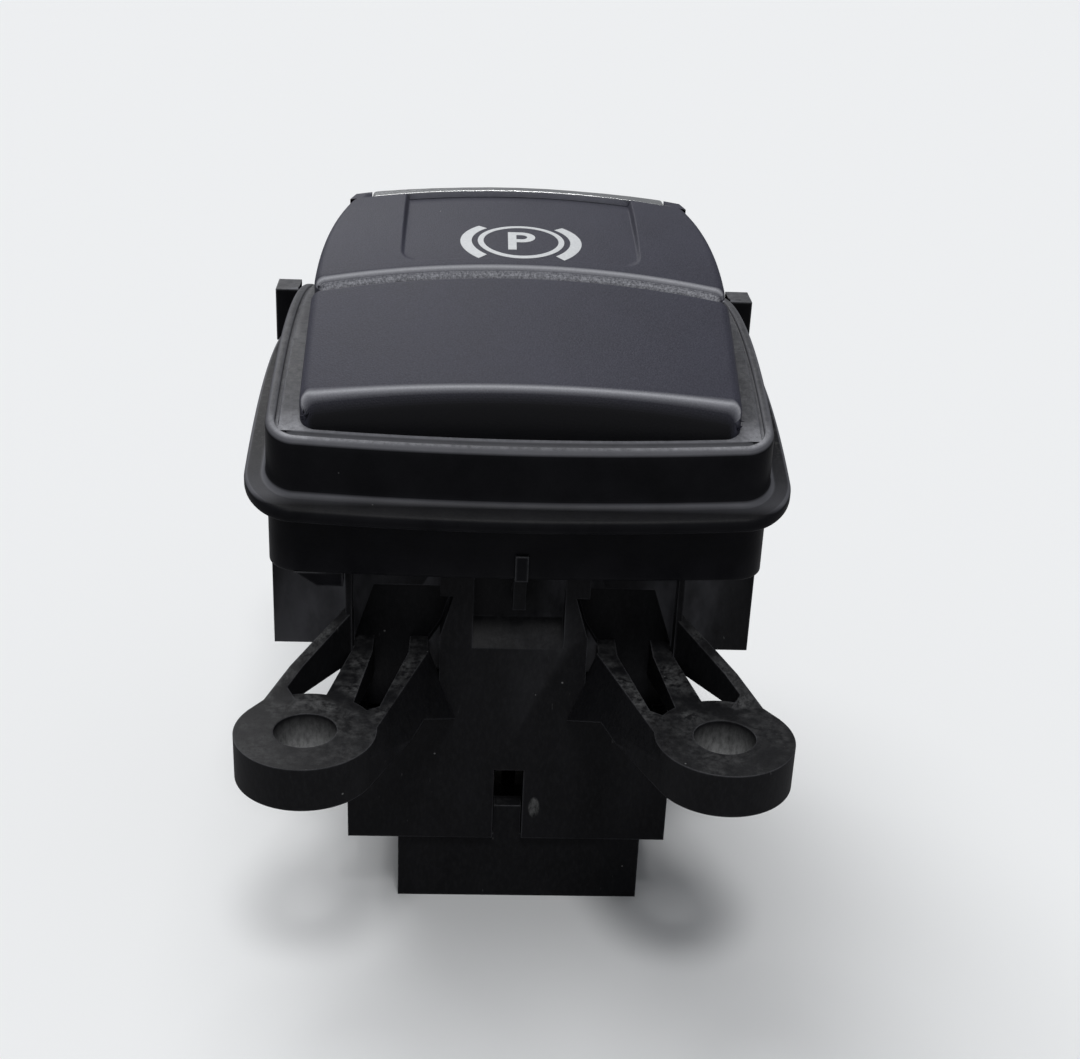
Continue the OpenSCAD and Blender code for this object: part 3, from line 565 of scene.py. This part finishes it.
ring_cuts = [("x", RIM_LIP - RIM_HALF), ("x", RIM_HALF - RIM_LIP), ("y", RIM_LIP - 1.5), ("y", RIM_REAR - RIM_LIP)]
bezel = cad_copy("bezel", "bezel_frame", TRIM, replaced_bezel, ring_cuts)
ring = bezel_ring()
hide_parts("bezel")
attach(bezel, "housing")
hood = top_piece(
    "hood_cover",
    marks(-1, 1, 0.016, 0.006, 0.08),
    marks(HOOD_FRONT, HOOD_REAR, 0.35, 0.1, 1.3),
    lambda y: HOOD_HALF + 0 * y,
    hood_front,
    hood_height,
    0.95,
    1.5,
    0.35,
    lambda x, y: ledge_height(y) - 0.9,
    SOFT,
    "housing",
    0.5,
)
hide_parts("bezel")
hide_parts("bezel")

# Body: the CAD solid with its arms recut as ribs, as the moulding shows them


def prism(points, axis, low, high):
    """A closed solid from an outline in the plane across axis, drawn out from low to high along it."""
    flat = np.asarray(points, float)
    count = len(flat)
    ends = [np.column_stack([flat, np.full(count, level)]) for level in (low, high)]
    place = np.concatenate(ends)[:, {"z": (0, 1, 2), "x": (2, 0, 1), "y": (0, 2, 1)}[axis]]
    k = np.arange(count)
    after = (k + 1) % count
    faces = np.stack([k, after, after + count, k + count], axis=-1).tolist()
    return solid(place, faces + [k[::-1].tolist(), (k + count).tolist()])


def solid(place, faces):
    """A loose solid in drawing millimetres, its faces turned outwards."""
    mesh = bpy.data.meshes.new("solid")
    mesh.from_pydata(((np.asarray(place) - [0, BODY_FRONT_Y, 0]) * MM).tolist(), [], faces)
    shape = bmesh.new()
    shape.from_mesh(mesh)
    bmesh.ops.recalc_face_normals(shape, faces=shape.faces)
    shape.to_mesh(mesh)
    shape.free()
    piece = bpy.data.objects.new("solid", mesh)
    bpy.context.scene.collection.objects.link(piece)
    return piece


def cut_with(piece, other, operation):
    """Joins, cuts or intersects a piece with another solid, which is used up."""
    step = piece.modifiers.new("step", "BOOLEAN")
    step.object, step.operation, step.solver = other, operation, "EXACT"
    shaped = bpy.data.meshes.new_from_object(piece.evaluated_get(bpy.context.evaluated_depsgraph_get()))
    piece.modifiers.clear()
    piece.data = shaped
    bpy.data.objects.remove(other)
    return piece


def rib(plan, side):
    """The part that an outline seen from above and an outline seen from the side have in common."""
    return cut_with(prism(plan, "z", 5, 60), prism(side, "x", 0, 40), "INTERSECT")


def disc(radius, low, high, count=96):
    turn = np.linspace(0, 2 * math.pi, count, endpoint=False)
    points = np.stack([LUG_X + radius * np.cos(turn), LUG_Y + radius * np.sin(turn)], axis=-1)
    return prism(points, "z", low, high)


def leaning_space():
    """Block whose near face is the arm's inner side: turned 16.7 degrees in plan and leaning 19.5 degrees."""
    corners = np.array([(x, y, z) for x in (0, 60) for y in (-60, 60) for z in (-60, 60)], float)
    turned = Matrix.Rotation(math.radians(16.7), 3, "Z") @ Matrix.Rotation(math.radians(19.5), 3, "Y")
    place = corners @ np.array(turned).T + [8.1, 0, LUG_TOP]
    return solid(place, [(0, 1, 3, 2), (4, 6, 7, 5), (0, 4, 5, 1), (2, 3, 7, 6), (0, 2, 6, 4), (1, 5, 7, 3)])


def screw_arm(name, mirrored):
    """Round lug with three ribs back to the body: a leaning inner wall, a middle and an outer rib."""
    x, y, r, back, foot = LUG_X, LUG_Y, LUG_R, RECESS_DEPTH + 0.2, LUG_TOP - LUG_T
    inner_plan = [(x - 0.92 * r, y - 0.39 * r), (x, y), (x - r, y + 0.68 * r), (9.9, 0), (9.9, back), (8.15, back), (8.1, 0.4), (5.2, 0.4)]
    inner_side = [(y - r, foot), (y + 1.4 * r, foot), (0, 21.4), (back, 21.4), (back, LUG_TOP), (y - r, LUG_TOP)]
    middle_plan = [(x - 0.6 * r, y + 0.6 * r), (x - 0.2 * r, y + 0.9 * r), (15.3, 0), (15.1, back), (13.3, back), (13.3, 0)]
    middle_side = [(y + 0.5 * r, LUG_TOP - 1), (0, 25.7), (back, 24.7), (back, LUG_TOP), (y + 0.5 * r, LUG_TOP)]
    outer_plan = [(x + 0.2 * r, y + 0.8 * r), (x + 0.87 * r, y + 0.5 * r), (15.8, 1), (15.1, 1), (15.4, 0), (x + 0.35 * r, y + r)]
    outer_side = [(y + 0.4 * r, 27.5), (1.5, 27.5), (1.5, 33.1), (-3.3, 31.4), (-6.0, 30.4), (-9.1, LUG_TOP), (y + 0.4 * r, LUG_TOP)]
    arm = disc(r, foot, LUG_TOP)
    cut_with(arm, cut_with(rib(inner_plan, inner_side), leaning_space(), "INTERSECT"), "UNION")
    cut_with(arm, rib(middle_plan, middle_side), "UNION")
    cut_with(arm, rib(outer_plan, outer_side), "UNION")
    cut_with(arm, disc(LUG_HOLE, foot - 5, LUG_TOP + 5, 64), "DIFFERENCE")
    if mirrored:
        arm.data.transform(Matrix.Scale(-1, 4, (1, 0, 0)))
        arm.data.flip_normals()
    return dressed(arm, name, BODY)


def dressed(piece, name, finish):
    """Names a solid made by cutting, and gives it its finish, body and sharp edges."""
    piece.name = piece.data.name = name
    piece.data.materials.clear()
    piece.data.materials.append(finish)
    piece.data.shade_smooth()
    piece.data.set_sharp_from_angle(angle=math.radians(30))
    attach(piece, "housing")
    return piece


def block(low, high):
    (x0, y0, z0), (x1, y1, z1) = low, high
    return prism([(x0, y0), (x1, y0), (x1, y1), (x0, y1)], "z", z0, z1)


recess = [(8.1, 21.4), (8.1, 28.7), (6.9, 30.7), (5.75, 34.7), (13.3, 34.7), (15.1, 29.2), (15.1, 21.4)]
body = cad_copy("housing", "body_moulding", BODY, lambda x, y, z: x > 1000)
cut_with(body, block((-40, -40, 5), (40, 0.01, 37.4)), "DIFFERENCE")
for way in (1, -1):
    cut_with(body, prism([(way * x, z) for x, z in recess], "y", -1, RECESS_DEPTH), "DIFFERENCE")
    low, high = sorted((way * 5.0, way * 15.6))
    cut_with(body, block((low, RECESS_DEPTH, 21.0), (high, RECESS_DEPTH + 0.5, 35.2)), "UNION")
cut_with(body, block((-0.2, 0.2, 33.3), (1.0, POCKET_DEPTH + 0.1, 37.5)), "UNION")
dressed(body, "body_moulding", BODY)
arms = [screw_arm("screw_arm_right", False), screw_arm("screw_arm_left", True)]
for piece in [body] + arms:
    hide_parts("housing")
collar_rib = dressed(block((-0.2, -2.55, COLLAR_FOOT), (1.0, -1.5, 40.2)), "collar_rib", TRIM)
hook_outline = [(-20.4, 37.7), (-18.3, 36.3), (-15.9, 36.3), (-15.9, 37.7)]
collar_hook = dressed(prism(hook_outline, "y", -1.5, -0.1), "collar_hook", TRIM)
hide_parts("bezel")
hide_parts("bezel")

# Button: smooth skin with the finger dish over the CAD's inner parts


def button_half(y):
    """Half width of the button in plan: arcs of radius BUTTON_SIDE_R that close in towards the rear."""
    return BUTTON_HALF - BUTTON_SIDE_R + np.sqrt(BUTTON_SIDE_R**2 - (y - BUTTON_FRONT) ** 2)


def dish_share(x, y):
    """1 inside the dish and 0 outside: a rounded rectangle, open to the rear, with a sloped wall."""
    in_x = np.abs(x) - (DISH_HALF - DISH_CORNER)
    in_y = DISH_FRONT + DISH_CORNER - y
    away = np.hypot(np.clip(in_x, 0, None), np.clip(in_y, 0, None))
    outside = away + np.minimum(np.maximum(in_x, in_y), 0) - DISH_CORNER
    return smooth_step(-outside / 0.4 + 0.3)


def button_foot(x, y):
    """Lower edge of the button's walls: high at the front, and rising along a quarter ellipse under the lip."""
    share = np.clip((y - 31.2) / 3.0, 0, 1)
    return np.where(y < BUTTON_FRONT + 1.3, 56.3, 50.2 + 12.4 * np.sqrt(1 - (1 - share) ** 2))


def dish_drop(y):
    """Depth of the dish: shallow at its front and full towards the rear."""
    return DISH_DEPTH * (0.3 + 0.7 * smooth_step((y - DISH_FRONT) / 11.0))


def button_height(x, y):
    return cap_height(x, y) - dish_drop(y) * dish_share(x, y)


def in_button_skin(x, y, z):
    inside = button_half(y) - np.abs(x)
    top = cap_height(np.clip(x, -BUTTON_HALF, BUTTON_HALF), y)
    skin = (z > top - 0.95) | (inside < 0.06) | (y < BUTTON_FRONT + 0.06) | ((inside < 1.25) & (z > top - 1.7))
    return (y < BUTTON_CUT) & skin & (y > BUTTON_FRONT - 0.05)


button = cad_copy("button", "button_inner", SOFT, in_button_skin, [("y", BUTTON_CUT)])
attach(button, "button")
across = np.unique(np.concatenate([marks(-1, 1, 0.014, 0.006, 0.08), np.linspace(0.565, 0.69, 42), -np.linspace(0.565, 0.69, 42)]))
along = np.unique(np.concatenate([marks(BUTTON_FRONT, BUTTON_CUT, 0.3, 0.1, 1.0), np.linspace(16.6, 17.5, 12)]))
skin = top_piece(
    "button_skin",
    across,
    along,
    button_half,
    lambda x: BUTTON_FRONT + 0 * x,
    button_height,
    0.9,
    1.2,
    0.02,
    button_foot,
    SOFT,
    "button",
    0.4,
)
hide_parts("button")
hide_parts("button")

# Symbol: a letter in a ring between two arcs, printed on the dish


def on_dish(across, up, lift):
    """Symbol coordinates laid on the dish's curved floor, lift millimetres above it."""
    y = SYMBOL_Y + SYMBOL_LENGTH * up
    return np.stack([across, y, cap_height(across, y) - dish_drop(y) + lift], axis=-1)


def stroke(name, line, width, closed=False):
    """A flat band of the given width along a line of points, with low walls; open ends are closed."""
    ahead = np.roll(line, -1, axis=0) - np.roll(line, 1, axis=0)
    if not closed:
        ahead[0], ahead[-1] = line[1] - line[0], line[-1] - line[-2]
    beside = np.stack([-ahead[:, 1], ahead[:, 0]], axis=-1) / np.linalg.norm(ahead, axis=1)[:, None]
    half = np.broadcast_to(np.asarray(width, float), len(line))[:, None] / 2
    sides = [(-1, -0.06), (-1, 0.03), (1, 0.03), (1, -0.06)]
    rows = np.stack([on_dish(*(line + s * half * beside).T, lift) for s, lift in sides], axis=1)
    if not closed:
        rows = np.concatenate([rows[:1] * 0 + rows[:1].mean(1, keepdims=True), rows, rows[-1:] * 0 + rows[-1:].mean(1, keepdims=True)])
    count = len(rows)
    return rows.reshape(-1, 3), grid_faces(count, 4, around=True, along=closed)


def circle_line(radius, start, end, count):
    """Points of a circle about the symbol's middle, from one angle to the other in degrees."""
    angle = np.radians(np.linspace(start, end, count))
    return radius * np.stack([np.cos(angle), np.sin(angle)], axis=-1)


def bowl_line():
    """Middle line of the letter's bowl: out along the top, round a half circle and back."""
    radius, right, top = 0.98, 0.02, 1.90
    turn = np.radians(np.linspace(90, -90, 25))
    bend = np.stack([right + radius * np.cos(turn), top - radius + radius * np.sin(turn)], axis=-1)
    return np.concatenate([[[-0.9, top]], bend, [[-0.9, top - 2 * radius]]])


parts = [
    stroke("ring", circle_line(3.93, 0, 360, 129)[:-1], 0.56, True),
    stroke("right", circle_line(5.35, -46, 46, 41), 1.1),
    stroke("left", circle_line(5.35, 134, 226, 41), 1.1),
    stroke("stem", np.array([[-0.86, -2.3], [-0.86, -1.0], [-0.86, 1.0], [-0.86, 2.3]]), 0.82),
    stroke("bowl", bowl_line(), 0.78),
]
starts = np.cumsum([0] + [len(points) for points, faces in parts])
symbol = mesh_piece(
    "brake_symbol",
    np.concatenate([points for points, faces in parts]),
    np.concatenate([faces + start for (points, faces), start in zip(parts, starts)]),
    INK,
    "button",
    30.0,
)

# Stage, light and camera
floor_mesh = bpy.data.meshes.new("floor")
floor_mesh.from_pydata([(-4, -4, 0), (4, -4, 0), (4, 4, 0), (-4, 4, 0)], [], [(0, 1, 2, 3)])
floor = bpy.data.objects.new("floor", floor_mesh)
floor.location.z = -0.00002
bpy.context.scene.collection.objects.link(floor)
paper = Finish("pale_floor", Roughness=0.9)
paper.surface.inputs["Specular IOR Level"].default_value = 0.0
seen = paper.node("ShaderNodeLightPath", output="Is Camera Ray")
paper.dress(Base_Color=paper.blend(seen, (0.30, 0.30, 0.31, 1), (0.90, 0.91, 0.915, 1)))
floor_mesh.materials.append(paper.material)

world = bpy.data.worlds.new("studio")
bpy.context.scene.world = world
world.use_nodes = True
sky = world.node_tree
ground = sky.nodes["Background"]
ground.inputs["Strength"].default_value = 1.0
ray = sky.nodes.new("ShaderNodeLightPath")
choose = sky.nodes.new("ShaderNodeMix")
choose.data_type = "RGBA"
choose.inputs[6].default_value = (0.20, 0.205, 0.215, 1)
choose.inputs[7].default_value = (0.82, 0.83, 0.835, 1)
sky.links.new(ray.outputs["Is Camera Ray"], choose.inputs[0])
sky.links.new(choose.outputs[2], ground.inputs["Color"])


def lamp(name, toward, strength, angle):
    """A distant soft lamp; toward points from the object to the lamp, angle is its apparent size in degrees."""
    light = bpy.data.lights.new(name, "SUN")
    light.energy = strength
    light.angle = math.radians(angle)
    carrier = bpy.data.objects.new(name, light)
    carrier.rotation_euler = Vector(toward).to_track_quat("Z", "Y").to_euler()
    bpy.context.scene.collection.objects.link(carrier)


lamp("overhead", (-0.20, 0.35, 1.0), 1.15, 45)
lamp("back", (-0.45, 1.0, 0.85), 0.75, 35)
lamp("front_edge", (0.05, -0.50, 1.0), 0.9, 14)

lens = bpy.data.cameras.new("camera")
lens.lens = 55.49
lens.sensor_fit = "HORIZONTAL"
lens.sensor_width = 36.0
lens.clip_start = 0.005
camera = bpy.data.objects.new("camera", lens)
pitch, yaw, roll = (math.radians(a) for a in (25.13, 2.94, -2.52))
ahead = Vector((math.sin(yaw) * math.cos(pitch), math.cos(yaw) * math.cos(pitch), -math.sin(pitch)))
right = Vector((math.cos(yaw), -math.sin(yaw), 0.0))
down = ahead.cross(right)
side = math.cos(roll) * right + math.sin(roll) * down
below = -math.sin(roll) * right + math.cos(roll) * down
turn = Matrix((side, -below, -ahead)).transposed()
camera.matrix_world = Matrix.Translation((-0.00506, -0.15092, 0.10648)) @ turn.to_4x4()
bpy.context.scene.collection.objects.link(camera)
bpy.context.scene.camera = camera
bpy.context.scene.view_settings.view_transform = "Standard"
